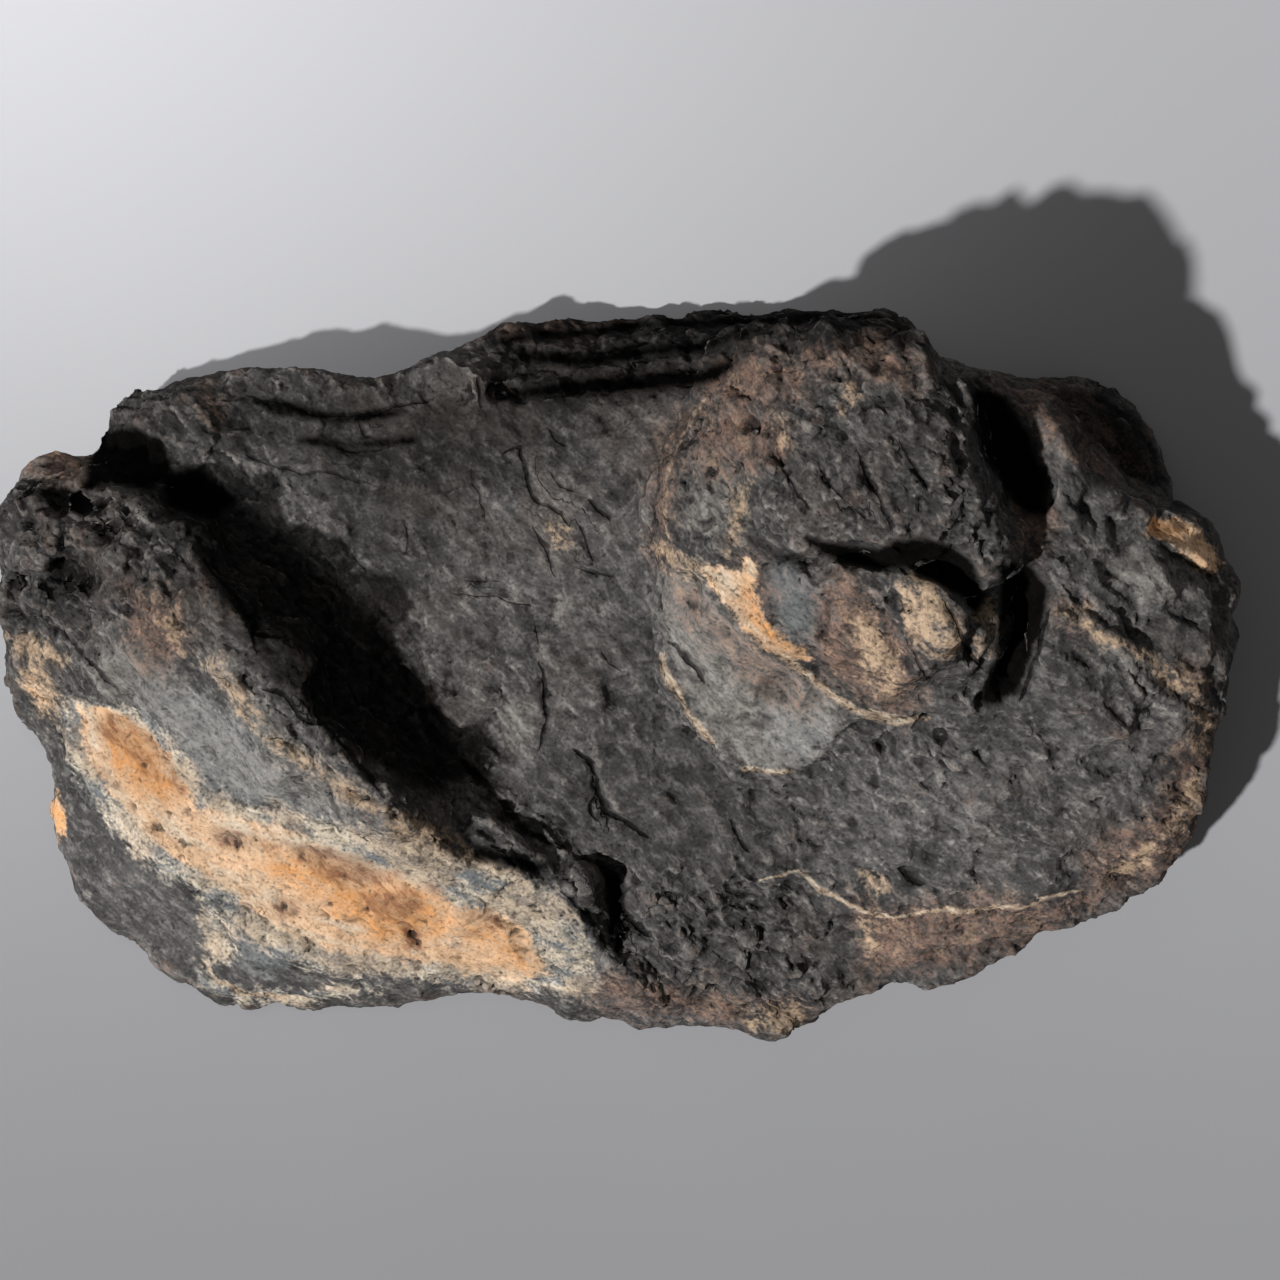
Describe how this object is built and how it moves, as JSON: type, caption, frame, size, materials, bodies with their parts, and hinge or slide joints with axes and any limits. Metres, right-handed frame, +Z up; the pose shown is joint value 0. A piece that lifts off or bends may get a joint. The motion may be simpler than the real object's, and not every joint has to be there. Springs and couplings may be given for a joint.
{
  "type": "viewing stone",
  "caption": "Natural viewing stone (suiseki): a dark weathered rock with a long ridge, a domed peak ringed by a collar, and a plain between them, resting on a flat base.",
  "frame": {"origin": "on the flat base, below the middle of the stone's outline", "axes": "+X along the stone's length towards the domed peak, +Y across it towards the side behind the ridge's shaded wall, +Z up, away from the base"},
  "size_m": [0.3014, 0.1826, 0.087],
  "materials": {
    "stone": "dry weathered rock: charcoal grey, with ochre and cream veins and brown-stained edges"
  },
  "bodies": {
    "root": {"stone": "stone"}
  },
  "joints": []
}
